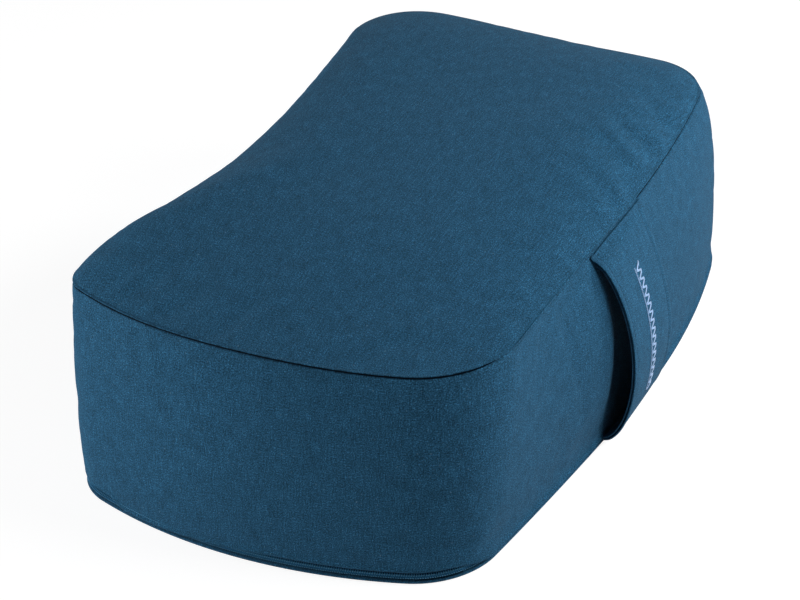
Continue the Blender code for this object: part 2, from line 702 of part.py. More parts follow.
cover_top_panel(canvas)
cover_side_band(canvas)
cover_base_panel(canvas)
seam_thread("top_seam_thread", range(STATIONS), wall, lambda i: seam_height(i) - GAP - SEAM_THREAD,
            matching_thread, True)
seam_thread("base_seam_thread", range(ZIP_REACH + 2, STATIONS - ZIP_REACH - 1), upright,
            lambda i: BASE_RIM + GAP + SEAM_THREAD, matching_thread, False)
zip_parts(zip_cloth, zip_nylon, zip_metal)
zip_slider(zip_metal)
zip_pull_tab(zip_metal)
strap_parts(canvas, matching_thread, ornament_thread)
inner_bag(bag_cotton, husks)
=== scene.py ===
"""Waisted kneeling cushion in petrol canvas: a zipped cover with a carry strap over a bag of husks."""

import math

import bpy
import numpy as np
from mathutils import Matrix, Vector, noise


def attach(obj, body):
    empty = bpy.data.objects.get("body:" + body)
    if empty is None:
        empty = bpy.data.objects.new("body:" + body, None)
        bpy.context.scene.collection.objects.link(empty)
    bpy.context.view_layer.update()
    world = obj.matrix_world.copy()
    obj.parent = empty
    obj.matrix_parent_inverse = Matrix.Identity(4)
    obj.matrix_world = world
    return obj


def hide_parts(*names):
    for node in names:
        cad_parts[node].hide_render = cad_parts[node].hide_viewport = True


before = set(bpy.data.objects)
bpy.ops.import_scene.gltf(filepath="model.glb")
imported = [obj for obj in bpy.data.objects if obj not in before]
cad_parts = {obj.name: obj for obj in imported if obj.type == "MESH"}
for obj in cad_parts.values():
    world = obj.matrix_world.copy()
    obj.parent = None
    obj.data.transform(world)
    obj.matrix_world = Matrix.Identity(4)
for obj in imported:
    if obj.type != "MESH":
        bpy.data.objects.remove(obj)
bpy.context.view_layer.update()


# The camera stands at the near right corner, a little above the cushion, with a long lens.
# It is tipped a few degrees clockwise, as the photograph is.
AIM = Vector((0.03396, -0.03174, 0.080))
DISTANCE = 2.18233
AZIMUTH, ELEVATION, TIP = (math.radians(turn) for turn in (30.0, 30.7, -3.74))
FOCAL_LENGTH = 156.34
SHIFT = (-0.0487, -0.0035)


def put(name, data):
    """A new object in the scene."""
    made = bpy.data.objects.new(name, data)
    bpy.context.scene.collection.objects.link(made)
    return made


back = Vector((math.sin(AZIMUTH) * math.cos(ELEVATION), -math.cos(AZIMUTH) * math.cos(ELEVATION),
               math.sin(ELEVATION)))
level = Vector((0, 0, 1)).cross(back).normalized()
upright = back.cross(level)
camera_right = level * math.cos(TIP) + upright * math.sin(TIP)
camera_up = upright * math.cos(TIP) - level * math.sin(TIP)
camera = put("camera", bpy.data.cameras.new("camera"))
camera.matrix_world = (Matrix.Translation(AIM + back * DISTANCE)
                       @ Matrix((camera_right, camera_up, back)).transposed().to_4x4())
camera.data.sensor_width = 36
camera.data.lens = FOCAL_LENGTH
camera.data.shift_x, camera.data.shift_y = SHIFT
camera.data.clip_start, camera.data.clip_end = 0.05, 30
bpy.context.scene.camera = camera
bpy.context.scene.view_settings.view_transform = "Standard"


# A pale studio floor that runs out to white, with soft boxes to the right and to the left.
# None stands behind the camera, so the corner that faces it stays the darkest part of the band.
FLOOR_SIZE, FLOOR_SUNK = 12, 0.0002
FLOOR_COLOUR = (0.75, 0.75, 0.75, 1)
FLOOR_WHITE, FLOOR_SHADED = 0.85, (0.28, 0.28, 0.28, 1)
SKY_COLOUR = (0.86, 0.93, 1.0, 1)
SKY_LEVEL = 0.02
FULL_LIGHT = math.pi ** 2
AIMED_AT = Vector((0, 0, 0.08))
# Each soft box's place, size and strength
SOFT_BOXES = (
    ("soft_box_right", (0.74, 0.07, 0.59), 0.45, 0.60),
    ("soft_box_far_right", (0.80, 0.85, 0.65), 0.5, 0.56),
    ("soft_box_near_left", (-0.75, -1.05, 0.50), 0.7, 0.41),
    ("soft_box_left", (-2.10, -0.80, 0.60), 1.3, 0.53),
)


def new_material(name):
    made = bpy.data.materials.new(name)
    made.use_nodes = True
    return made, made.node_tree


def feed(tree, node, given):
    """Gives a node's inputs their values, or links them to other nodes' outputs."""
    for slot, value in given.items():
        if isinstance(value, bpy.types.NodeSocket):
            tree.links.new(value, node.inputs[slot])
        else:
            node.inputs[slot].default_value = value


def add_node(tree, kind, given=(), **settings):
    node = tree.nodes.new(kind)
    for name, value in settings.items():
        setattr(node, name, value)
    feed(tree, node, dict(given))
    return node


def maths(tree, operation, *values):
    return add_node(tree, "ShaderNodeMath", enumerate(values), operation=operation).outputs[0]


def white_when_seen(tree, plain, white, out):
    """Plain lights the scene; white is what is seen directly, in a reflection or through glass."""
    path = add_node(tree, "ShaderNodeLightPath").outputs
    seen = maths(tree, "MAXIMUM", path["Is Camera Ray"], path["Is Glossy Ray"])
    seen = maths(tree, "MAXIMUM", seen, path["Is Transmission Ray"])
    choice = add_node(tree, "ShaderNodeMixShader", {0: seen, 1: plain.outputs[0], 2: white.outputs[0]})
    feed(tree, tree.nodes[out], {"Surface": choice.outputs[0]})


world = bpy.data.worlds.new("studio")
bpy.context.scene.world = world
world.use_nodes = True
tree = world.node_tree
sky = tree.nodes["Background"]
feed(tree, sky, {"Color": SKY_COLOUR, "Strength": SKY_LEVEL})
white_sky = add_node(tree, "ShaderNodeBackground", {"Color": (1, 1, 1, 1)})
white_when_seen(tree, sky, white_sky, "World Output")

bpy.ops.mesh.primitive_plane_add(size=FLOOR_SIZE)
floor = bpy.context.object
floor.name = "studio_floor"
floor.location.z = -FLOOR_SUNK
floor_paint, tree = new_material("pale floor")
matt = tree.nodes["Principled BSDF"]
feed(tree, matt, {"Base Color": FLOOR_COLOUR, "Roughness": 1, "Specular IOR Level": 0})
white = add_node(tree, "ShaderNodeEmission", {"Strength": FLOOR_WHITE})
shadow_catch = add_node(tree, "ShaderNodeBsdfDiffuse", {"Color": FLOOR_SHADED})
seen_floor = add_node(tree, "ShaderNodeAddShader", {0: white.outputs[0], 1: shadow_catch.outputs[0]})
white_when_seen(tree, matt, seen_floor, "Material Output")
floor.data.materials.append(floor_paint)

for name, place, size, strength in SOFT_BOXES:
    lamp = bpy.data.lights.new(name, "AREA")
    lamp.shape = "DISK"
    lamp.size = size
    stand = put(name, lamp)
    stand.location = place
    aim = Vector(place) - AIMED_AT
    stand.rotation_euler = aim.to_track_quat("Z", "Y").to_euler()
    lamp.energy = FULL_LIGHT * aim.length ** 2 * strength
    stand.visible_camera = False


# The canvas: a plain weave of petrol yarns, uneven in thickness and shade, with a few pale flecks.
# Coordinates are metres on the cut cloth, so the threads run along each panel and round the band.
THREAD_PITCH, SLUB_LENGTH, YARN_ROUGHNESS = 0.0006, 0.009, 0.6
DYE_BLOTCHES = 90
FLECK_FROM, FLECK_FULL = 0.70, 0.80
WEAVE_RELIEF = 0.00022
PETROL, PETROL_FLECK = (0.0172, 0.0790, 0.1490), (0.085, 0.185, 0.270)


def noise_of(tree, place, scale, detail, roughness=0.5):
    return add_node(tree, "ShaderNodeTexNoise", {
        "Vector": place, "Scale": scale, "Detail": detail, "Roughness": roughness}).outputs[0]


def new_group(name, inputs, outputs):
    """A node group with named sockets; an input without a value of its own is a place."""
    tree = bpy.data.node_groups.new(name, "ShaderNodeTree")
    for label, value in inputs.items():
        kind = "NodeSocketVector" if value is None else "NodeSocketFloat"
        socket = tree.interface.new_socket(label, in_out="INPUT", socket_type=kind)
        if value is not None:
            socket.default_value = value
    for label in outputs:
        tree.interface.new_socket(label, in_out="OUTPUT", socket_type="NodeSocketFloat")
    return tree, tree.nodes.new("NodeGroupInput").outputs, tree.nodes.new("NodeGroupOutput")


def cloth_group():
    tree, given, made = new_group("woven_cloth", {
        "Cloth Place": None, "Thread Pitch": THREAD_PITCH, "Slub Length": SLUB_LENGTH,
    }, ("Shade", "Fleck", "Height"))

    def sum_of(operation, *values):
        return maths(tree, operation, *values)

    def blend_of(first, first_share, second, second_share):
        return sum_of("ADD", sum_of("MULTIPLY", first, first_share), sum_of("MULTIPLY", second, second_share))

    def yarns(across, along, detail):
        """Noise drawn out along the yarn, in cloth metres."""
        place = add_node(tree, "ShaderNodeCombineXYZ", {0: across, 1: along}).outputs[0]
        return noise_of(tree, place, 1, detail, YARN_ROUGHNESS)

    split = add_node(tree, "ShaderNodeSeparateXYZ", {0: given["Cloth Place"]}).outputs
    pitch, slub = given["Thread Pitch"], given["Slub Length"]
    warp, weft = sum_of("DIVIDE", split[0], pitch), sum_of("DIVIDE", split[1], pitch)
    warp_round = sum_of("SINE", sum_of("MULTIPLY", warp, math.pi))
    weft_round = sum_of("SINE", sum_of("MULTIPLY", weft, math.pi))
    over = sum_of("GREATER_THAN", sum_of("MULTIPLY", warp_round, weft_round), 0)
    warp_size, weft_size = sum_of("ABSOLUTE", warp_round), sum_of("ABSOLUTE", weft_round)
    warp_top = sum_of("MULTIPLY", warp_size, sum_of("POWER", weft_size, 0.4))
    weft_top = sum_of("MULTIPLY", weft_size, sum_of("POWER", warp_size, 0.4))
    weave = blend_of(warp_top, over, weft_top, sum_of("SUBTRACT", 1, over))
    warp_slub = yarns(sum_of("DIVIDE", warp, 1.8), sum_of("DIVIDE", split[1], slub), 2)
    weft_slub = yarns(sum_of("DIVIDE", split[0], slub), sum_of("DIVIDE", weft, 1.8), 2)
    slubs = blend_of(warp_slub, 0.65, weft_slub, 0.35)
    melange = yarns(sum_of("DIVIDE", warp, 1.15), sum_of("DIVIDE", weft, 1.35), 2)
    dye = yarns(sum_of("MULTIPLY", split[0], DYE_BLOTCHES), sum_of("MULTIPLY", split[1], DYE_BLOTCHES), 3)
    shade = blend_of(slubs, 0.27, melange, 0.62)
    shade = sum_of("ADD", shade, sum_of("MULTIPLY", dye, 0.08))
    shade = sum_of("ADD", shade, sum_of("MULTIPLY", weave, 0.03))
    fleck = yarns(sum_of("DIVIDE", warp, 2.6), sum_of("DIVIDE", weft, 3.4), 1)
    fleck = add_node(tree, "ShaderNodeMapRange", {
        "Value": fleck, "From Min": FLECK_FROM, "From Max": FLECK_FULL}, interpolation_type="SMOOTHSTEP")
    feed(tree, made, {"Shade": shade, "Fleck": fleck.outputs[0], "Height": blend_of(weave, 0.5, slubs, 0.9)})
    return tree


woven_cloth = cloth_group()


def piece_place(tree, on_cloth_map=False):
    """The place on the cut cloth or along the yarn, or in the object for a piece without that map."""
    if on_cloth_map:
        return add_node(tree, "ShaderNodeUVMap", uv_map="cloth").outputs[0]
    return add_node(tree, "ShaderNodeTexCoord").outputs["Object"]


def ranged(tree, value, low, high, clamp=True):
    return add_node(tree, "ShaderNodeMapRange", {"Value": value, "To Min": low, "To Max": high},
                    clamp=clamp).outputs[0]


def tinted(tree, colour, shade):
    return add_node(tree, "ShaderNodeVectorMath", {0: colour, "Scale": shade}, operation="SCALE").outputs[0]


def bumped(tree, height, depth):
    return add_node(tree, "ShaderNodeBump", {"Strength": 1, "Distance": depth, "Height": height}).outputs[0]


def cloth_material(name, colour, fleck_colour, pitch=THREAD_PITCH, slub=SLUB_LENGTH, contrast=7.0,
                   on_cloth_map=True):
    made, tree = new_material(name)
    weave = add_node(tree, "ShaderNodeGroup", {
        "Cloth Place": piece_place(tree, on_cloth_map), "Thread Pitch": pitch, "Slub Length": slub,
    }, node_tree=woven_cloth).outputs
    shade = maths(tree, "EXPONENT", ranged(tree, weave["Shade"], -contrast / 2, contrast / 2, clamp=False))
    flecked = add_node(tree, "ShaderNodeMix", {
        "Factor": weave["Fleck"], "A": tinted(tree, colour, shade), "B": (*fleck_colour, 1),
    }, data_type="RGBA")
    feed(tree, tree.nodes["Principled BSDF"], {
        "Base Color": flecked.outputs["Result"], "Normal": bumped(tree, weave["Height"], WEAVE_RELIEF),
        "Roughness": 0.92, "Specular IOR Level": 0.08, "Sheen Weight": 0.03, "Sheen Roughness": 0.5,
        "Sheen Tint": (0.72, 0.86, 1.0, 1),
    })
    return made


canvas = cloth_material("petrol canvas", PETROL, PETROL_FLECK)


# The cushion's outline: two round lobes with a deep waist on the left and a full, near straight right side.
# Top and base panels are cut alike, but the settled husks push the base outline out at both ends.
END_STEPS, CORNER_STEPS, SIDE_STEPS = 36, 24, 50
QUARTER_STEPS = END_STEPS + CORNER_STEPS + SIDE_STEPS
ROUND = 4 * QUARTER_STEPS
WAIST_SHIFT = 0.0113
TOP_LENGTH, BASE_LENGTH = 0.420, 0.466
TOP_CUT = (
    (0.145, 0.141, 0.063, 0.334), (0.126, 0.141, 0.054, 0.700),
    (0.126, 0.1115, 0.054, 0.700), (0.145, 0.1115, 0.023, 0.334),
)
BASE_CUT = (
    (0.141, 0.146, 0.053, 0.334), (0.122, 0.146, 0.054, 0.700),
    (0.122, 0.111, 0.054, 0.700), (0.141, 0.111, 0.045, 0.334),
)


def quarter(half_length, half_width, waist, corner, end):
    """A quarter outline of three tangent arcs, from the middle of the end to the waist."""
    cx = half_width - corner
    end_y = half_length - end
    cy = end_y + math.sqrt((end - corner) ** 2 - cx ** 2)
    reach = waist - cx
    side = (reach ** 2 + cy ** 2 - corner ** 2) / (2 * (corner - reach))
    bend = math.copysign(1, side)
    end_turn = math.atan2(cx, cy - end_y)
    side_turn = math.atan2(cy, abs(side + reach))
    turns = np.linspace(0, end_turn, END_STEPS + 1)[:-1]
    normals = [np.stack([np.sin(turns), np.cos(turns)], 1)]
    points = [np.array([0, end_y]) + normals[0] * end]
    turns = np.linspace(math.pi / 2 - end_turn, -bend * side_turn, CORNER_STEPS + 1)[:-1]
    normals.append(np.stack([np.cos(turns), np.sin(turns)], 1))
    points.append(np.array([cx, cy]) + normals[1] * corner)
    turns = np.linspace(side_turn, 0, SIDE_STEPS + 1)
    normals.append(np.stack([np.cos(turns), -bend * np.sin(turns)], 1))
    points.append(np.stack([waist + side * (1 - np.cos(turns)), abs(side) * np.sin(turns)], 1))
    return np.concatenate(points), np.concatenate(normals)


def whole_outline(length, cuts):
    """Points and outward normals once round, from the middle of the near end by the right side."""
    points, normals = [], []
    for (flip_x, flip_y), cut in zip(((1, -1), (1, 1), (-1, 1), (-1, -1)), cuts):
        place, out = quarter(length / 2 - flip_y * WAIST_SHIFT, *cut)
        flip = np.array([flip_x, flip_y])
        place = place * flip + np.array([0, WAIST_SHIFT])
        out = out * flip
        if flip_x == flip_y:
            place, out = place[::-1], out[::-1]
        points.append(place[:-1])
        normals.append(out[:-1])
    return np.concatenate(points), np.concatenate(normals)


top_rim, top_out = whole_outline(TOP_LENGTH, TOP_CUT)
base_rim, base_out = whole_outline(BASE_LENGTH, BASE_CUT)

SEAM_HEIGHT, SEAM_TILT, SEAM_TWIST = 0.1362, 0.0060, 0.0026
SEAM_SPAN = 0.271


def seam_level(x, y):
    """The top seam rises a little to the far end, and its corners twist out of level."""
    turn = np.arctan2(y / TOP_LENGTH, x / SEAM_SPAN)
    return SEAM_HEIGHT + SEAM_TILT * np.sin(turn) + SEAM_TWIST * np.sin(3 * turn)


seam_z = seam_level(top_rim[:, 0], top_rim[:, 1])
station = np.arange(ROUND)
signed = np.where(station > ROUND // 2, station - ROUND, station)


def eased(value, start, stop):
    share = np.clip((value - start) / (stop - start), 0, 1)
    return share ** 2 * (3 - 2 * share)


# The seam gapes by a hair, except from the near right corner to the strap, where the husks press it shut:
# stations over which it closes, places along the side over which it opens again, and the side's last station
SEAM_SHUT_FROM, SEAM_SHUT_TO, SEAM_SHUT_END = (49, 56), (0.028, 0.040), 170
GAPE_SHUT, GAPE_UNEVEN = 0.25, 0.18
seam_shut = eased(signed, *SEAM_SHUT_FROM) * (1 - eased(top_rim[:, 1], *SEAM_SHUT_TO))
seam_open = 1 - seam_shut * (signed < SEAM_SHUT_END)
unevenness = np.sin(station * 1.9) * np.sin(station * 0.53)
seam_gape = GAPE_SHUT + (1 - GAPE_SHUT) * seam_open + GAPE_UNEVEN * seam_open * unevenness

# How the cloth of the panels is simulated, and how often its broad form is smoothed
SETTLING_FRAMES, CLOTH_STIFFNESS, CLOTH_PRESSURE, SMOOTHING_PASSES = 20, 25, 4, 160


def settled(points, faces, pinned, growth):
    """Lets a panel of cloth, held at its seams, swell, and returns its points."""
    mesh = bpy.data.meshes.new("swelling_panel")
    mesh.from_pydata(points.tolist(), [], faces)
    panel = put("swelling_panel", mesh)
    held = panel.vertex_groups.new(name="seams")
    held.add([int(i) for i in pinned], 1.0, "REPLACE")
    cloth = panel.modifiers.new("Cloth", "CLOTH")
    fabric = cloth.settings
    fabric.quality = 6
    fabric.mass = 0.25
    fabric.tension_stiffness = fabric.compression_stiffness = CLOTH_STIFFNESS
    fabric.shear_stiffness = CLOTH_STIFFNESS / 3
    fabric.bending_stiffness = 0.8
    fabric.air_damping = 4
    fabric.vertex_group_mass = "seams"
    fabric.shrink_min = -growth
    fabric.use_pressure = True
    fabric.uniform_pressure_force = CLOTH_PRESSURE
    fabric.effector_weights.gravity = 0
    cloth.collision_settings.use_collision = False
    for step in range(1, SETTLING_FRAMES + 1):
        bpy.context.scene.frame_set(step)
    shape = panel.evaluated_get(bpy.context.evaluated_depsgraph_get()).to_mesh()
    found = np.empty(len(points) * 3)
    shape.vertices.foreach_get("co", found)
    bpy.data.objects.remove(panel)
    bpy.context.scene.frame_set(1)
    return found.reshape(-1, 3)


def outward(points, faces):
    """Mean outward direction at each point, from the quads around it."""
    corners = points[np.array(faces)]
    across = np.cross(corners[:, 2] - corners[:, 0], corners[:, 3] - corners[:, 1])
    total = np.zeros_like(points)
    for k in range(4):
        np.add.at(total, np.array(faces)[:, k], across)
    return total / np.maximum(np.linalg.norm(total, axis=1, keepdims=True), 1e-12)


def ripples_only(height, faces):
    """What is left of a height field over a mesh once its broad form is taken away."""
    quads = np.array(faces)
    ends_a = np.concatenate([quads[:, k] for k in range(4)])
    ends_b = np.concatenate([quads[:, (k + 1) % 4] for k in range(4)])
    size = len(height)
    count = np.bincount(ends_a, minlength=size) + np.bincount(ends_b, minlength=size)
    broad = height.copy()
    for _ in range(SMOOTHING_PASSES):
        around = np.bincount(ends_a, broad[ends_b], size) + np.bincount(ends_b, broad[ends_a], size)
        broad = 0.4 * broad + 0.6 * around / np.maximum(count, 1)
    return height - broad


def cloth_ripples(points, faces, pinned, growth):
    lift = ((settled(points, faces, pinned, growth) - points) * outward(points, faces)).sum(1)
    return ripples_only(lift, faces)


def lengths_along(path):
    return np.concatenate([[0], np.cumsum(np.linalg.norm(np.diff(path, axis=0), axis=1))])


def ring_faces(rings, count):
    """Quads between closed rings of points, one ring after another."""
    faces = []
    for r in range(rings - 1):
        for i in range(count):
            j = (i + 1) % count
            faces.append((r * count + i, r * count + j, (r + 1) * count + j, (r + 1) * count + i))
    return faces


def cloth_piece(name, points, faces, places, finish):
    """A smooth piece of cloth whose UV map holds its place on the cut cloth, in metres."""
    mesh = bpy.data.meshes.new(name)
    mesh.from_pydata(np.asarray(points).tolist(), [], [tuple(int(i) for i in face) for face in faces])
    layer = mesh.uv_layers.new(name="cloth")
    layer.data.foreach_set("uv", np.asarray(places, dtype=float).reshape(-1))
    mesh.shade_smooth()
    mesh.materials.append(finish)
    return put(name, mesh)


# The top panel: one piece of canvas drawn over the husks, with its edge turned in at the seam.
# Its crown is fullest to the left of the middle and falls off towards both ends.
CROWN_HEIGHT, CROWN_LEAN, CROWN_RISE, CROWN_FALL = 0.0367, -0.011, 0.011, 0.018
CROWN_FLATNESS, CROWN_EDGE, CROWN_GROWTH = 5.1, 0.81, 0.012
RIM_SHARES = (0.994, 0.990, 0.984, 0.976, 0.966, 0.953, 0.938, 0.920, 0.900)
SETTLING_SHARES = (1.0, 0.98, 0.96, 0.94, 0.92, 0.90)
# Inset from the outline and height over the seam of the turned edge, from the seam outwards
TURNED_EDGE = ((0.0030, 0.0003), (0.0018, 0.0004), (0.0010, 0.0005), (0.0004, 0.0007), (0.0001, 0.0010),
               (0.0003, 0.0016))
LIPS_HEIGHT = 0.0015
# How strongly the seam gathers the panel everywhere, and how much more on the right and at the near left
EVEN_PULL, SEAM_PULL = 0.16, ((38, 24, 0.42), (240, 24, 0.42), (288, 14, 0.30))
# Hollows drawn in from the seam: from, to, width and depth
HOLLOWS = (
    ((0.139, 0.109), (0.104, 0.127), 0.0085, 0.0021), ((0.139, 0.072), (0.108, 0.084), 0.0060, 0.0009),
    ((0.141, 0.036), (0.110, 0.054), 0.0065, 0.0012), ((0.141, 0.012), (0.116, 0.026), 0.0055, 0.0009),
    ((-0.092, -0.186), (-0.072, -0.158), 0.0050, 0.0009),
    ((-0.058, -0.194), (-0.040, -0.164), 0.0055, 0.0010),
    ((-0.020, -0.199), (-0.006, -0.172), 0.0050, 0.0007),
    ((0.098, -0.200), (0.084, -0.168), 0.0065, 0.0008),
)
# The slow hollows: depth, number in a metre, and the distance from the seam over which all hollows fade in
SLOW_HOLLOWS, SLOW_PER_METRE, FADE_IN, HALF_ACROSS = 0.0008, 17, 0.006, 0.135
DEEPEST, HIGHEST = -0.0020, 0.0018
CORNER_AT = END_STEPS + CORNER_STEPS // 2
ACROSS = 2 * CORNER_AT
ALONG = 2 * (QUARTER_STEPS - CORNER_AT)
rim_turn = np.unwrap(np.arctan2(top_rim[:, 1], top_rim[:, 0]))
rim_reach = np.linalg.norm(top_rim, axis=1)


def crown_level(x, y, share):
    """Height of the top panel; share is 1 at the seam and 0 in the middle."""
    along = 2 * y / TOP_LENGTH
    across = 2 * x / SEAM_SPAN
    full = CROWN_HEIGHT + CROWN_LEAN * across + CROWN_RISE * along - CROWN_FALL * along ** 2
    share = np.clip(share, 0, 1)
    level = SEAM_HEIGHT * (1 - share ** 2) + seam_level(x, y) * share ** 2
    return level + full * (1 - share ** CROWN_FLATNESS) ** CROWN_EDGE


def share_at(x, y):
    turn = np.arctan2(y, x)
    turn = np.where(turn < rim_turn[0], turn + 2 * math.pi, turn)
    turns, reaches = np.append(rim_turn, rim_turn[0] + 2 * math.pi), np.append(rim_reach, rim_reach[0])
    return np.hypot(x, y) / np.interp(turn, turns, reaches)


def swells_round(x, y, swells, start=0):
    """Sum of swells, each given as degrees round from +X, spread and size."""
    turn = np.degrees(np.arctan2(y, x)) % 360
    for middle, spread, size in swells:
        start = start + size * np.exp(-(((turn - middle + 180) % 360 - 180) / spread) ** 2)
    return start


def panel_middle(edge):
    """Places inside a closed edge: a grid of quads whose border is that edge."""
    near = edge[[(a - CORNER_AT) % ROUND for a in range(ACROSS + 1)]]
    right = edge[[CORNER_AT + b for b in range(ALONG + 1)]]
    far = edge[[CORNER_AT + ALONG + ACROSS - a for a in range(ACROSS + 1)]]
    left = edge[[(ROUND - CORNER_AT - b) % ROUND for b in range(ALONG + 1)]]
    u = np.linspace(0, 1, ACROSS + 1)[:, None, None]
    v = np.linspace(0, 1, ALONG + 1)[None, :, None]
    grid = near[:, None] * (1 - v) + far[:, None] * v + left[None] * (1 - u) + right[None] * u
    grid -= near[0] * (1 - u) * (1 - v) + near[-1] * u * (1 - v) + far[0] * (1 - u) * v + far[-1] * u * v
    return grid


def panel_faces(rings):
    """Quads of a panel made of rings round its edge and a grid inside the last ring."""
    faces = ring_faces(rings, ROUND)
    last = (rings - 1) * ROUND
    inner = rings * ROUND

    def at(a, b):
        if b == 0:
            return last + (a - CORNER_AT) % ROUND
        if a == ACROSS:
            return last + CORNER_AT + b
        if b == ALONG:
            return last + CORNER_AT + ALONG + ACROSS - a
        if a == 0:
            return last + (ROUND - CORNER_AT - b) % ROUND
        return inner + (a - 1) * (ALONG - 1) + b - 1

    for a in range(ACROSS):
        for b in range(ALONG):
            faces.append((at(a, b), at(a + 1, b), at(a + 1, b + 1), at(a, b + 1)))
    return faces


def crown_points(shares):
    rings = [top_rim * share for share in shares]
    inside = panel_middle(top_rim * shares[-1])[1:-1, 1:-1].reshape(-1, 2)
    flat = np.concatenate(rings + [inside])
    share = np.concatenate([np.full(ROUND, s) for s in shares] + [share_at(inside[:, 0], inside[:, 1])])
    return np.column_stack([flat, crown_level(flat[:, 0], flat[:, 1], share)])


settling = crown_points(SETTLING_SHARES)
crown_ripples = cloth_ripples(settling, panel_faces(len(SETTLING_SHARES)), range(ROUND), CROWN_GROWTH)

rings = []
for inset, over in TURNED_EDGE:
    level = seam_z + over * (seam_gape if over < LIPS_HEIGHT else 1)
    rings.append(np.column_stack([top_rim - top_out * inset, level]))
skin = crown_points(RIM_SHARES)
skin_faces = panel_faces(len(RIM_SHARES))
skin_ripples = np.empty(len(skin))
by_ring = crown_ripples[:ROUND * len(SETTLING_SHARES)].reshape(len(SETTLING_SHARES), ROUND)
for r, share in enumerate(RIM_SHARES):
    at = np.interp(1 - share, [1 - s for s in SETTLING_SHARES], range(len(SETTLING_SHARES)))
    low = min(int(at), len(SETTLING_SHARES) - 2)
    skin_ripples[r * ROUND:(r + 1) * ROUND] = by_ring[low] * (1 - at + low) + by_ring[low + 1] * (at - low)
skin_ripples[ROUND * len(RIM_SHARES):] = crown_ripples[ROUND * len(SETTLING_SHARES):]


def hollows(points):
    """Slow hollows over the crown, and those drawn in from the seam, each with a low ridge beside it."""
    found = np.zeros(len(points))
    for start, stop, width, sunk in HOLLOWS:
        start, run = np.array(start), np.array(stop) - np.array(start)
        along = np.clip((points[:, :2] - start) @ run / (run @ run), 0, 1)
        aside = np.linalg.norm(points[:, :2] - start - along[:, None] * run, axis=1) / width
        found -= sunk * (1 - along * 0.6) * (np.exp(-aside ** 2) - 0.45 * np.exp(-((aside - 1.9) / 0.8) ** 2))
    edge = np.clip(1 - share_at(points[:, 0], points[:, 1]), 0, 1) * HALF_ACROSS
    for i, (x, y, z) in enumerate(points):
        slow = noise.noise(Vector((x * SLOW_PER_METRE, y * SLOW_PER_METRE, 3.0)))
        found[i] = (found[i] + slow * SLOW_HOLLOWS) * min(1.0, edge[i] / FADE_IN)
    return found


pull_of_seam = swells_round(skin[:, 0], skin[:, 1], SEAM_PULL, EVEN_PULL)
gathers = skin_ripples * pull_of_seam + hollows(skin)
skin = skin + outward(skin, skin_faces) * np.clip(gathers, DEEPEST, HIGHEST)[:, None]
points = np.concatenate(rings + [skin])
faces = panel_faces(len(TURNED_EDGE) + len(RIM_SHARES))
places = [points[i, :2] for face in faces for i in face]
top_panel = cloth_piece("top_panel_cloth", points, faces, places, canvas)
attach(top_panel, "cushion")
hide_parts("cover_top_panel")


# The side band: one strip of canvas round the husks, turned in at the top seam and hemmed over the zip.
# It bellies a little between its seams and leans inwards as it rises.
BAND_BELLY, BAND_GROWTH = 0.0033, 0.010
# How much of the simulated ripples the band keeps, and their lowest and highest
BAND_RIPPLES = (0.4, -0.0010, 0.0014)
# Extra fullness just below the seam: degrees round from +X, spread, and how far it stands out
SHOULDERS = ((62, 26, 0.0034), (5, 34, 0.0016), (302, 25, 0.0018), (268, 22, 0.0015), (236, 13, -0.0014))
# It swells out beside the strap's near edge too: place along the side, spread to each hand, and how far
BESIDE_STRAP = (-0.0310, (0.036, 0.0115), 0.0090)
# Slow waves in the band and short gathers under its seam, both calmer behind the strap
SLOW_WAVES, SHORT_GATHERS, GATHERS_REACH = 0.0011, 0.0006, 0.025
BEHIND_STRAP, CALM_THERE = (0.0025, 0.045), 0.3
ZIP_HEM, PLAIN_FOOT, HEM_TOP = 0.0076, 0.0023, 0.0156
ZIP_END = END_STEPS + CORNER_STEPS
# Where the hem drops over the chain: stations from the near end's middle, and the height it falls to
RIGHT_DROP, LEFT_DROP = (46, 60), ((-33, -29), (-24, 12), 0.0026)
CLOSED_END_DROP = (ZIP_END - 0.6, ZIP_END + 0.8)
# How much thinner the hem's fold is where it has dropped over the chain
FOLD_THINNED = 0.72
# Inset and height of the turned edges, from inside the cover outwards
TOP_TURN = ((0.0030, -0.0005), (0.0018, -0.0006), (0.0010, -0.0007), (0.0004, -0.0009), (0.0001, -0.0013))
FOOT_TURN = ((0.0000, 0.0016), (0.0001, 0.0008), (0.0004, 0.0003), (0.0008, 0.0000), (0.0016, 0.0002),
             (0.0017, 0.0012))
BAND_ROWS, ABOVE_HEM, BELOW_SEAM = 34, 0.0026, 0.0022

right_cover = eased(signed, *RIGHT_DROP)
past_left = eased(-signed, *CLOSED_END_DROP)
foot_z = ZIP_HEM + (PLAIN_FOOT - ZIP_HEM) * np.maximum(right_cover, past_left)
left_cover = eased(signed, *LEFT_DROP[0]) * (1 - eased(signed, *LEFT_DROP[1]))
foot_z = foot_z + (LEFT_DROP[2] - ZIP_HEM) * left_cover
over_chain = np.maximum(right_cover * (signed <= ZIP_END + 2), left_cover)
over_chain = np.clip(np.maximum(over_chain, past_left * (-signed <= ZIP_END + 1)) * 3, 0, 1)
fold_depth = 1 - FOLD_THINNED * over_chain


def fullness(share, x, y):
    """How far the band stands out between its hem, where share is 0, and the seam."""
    middle, spreads, out = BESIDE_STRAP
    beside = out * (x > 0) * np.exp(-((y - middle) / np.where(y < middle, *spreads)) ** 2)
    shoulder = swells_round(x, y, SHOULDERS) * 3.39 * share ** 1.6 * (1 - share) ** 0.55
    return (BAND_BELLY + beside) * 4 * share * (1 - share) + shoulder


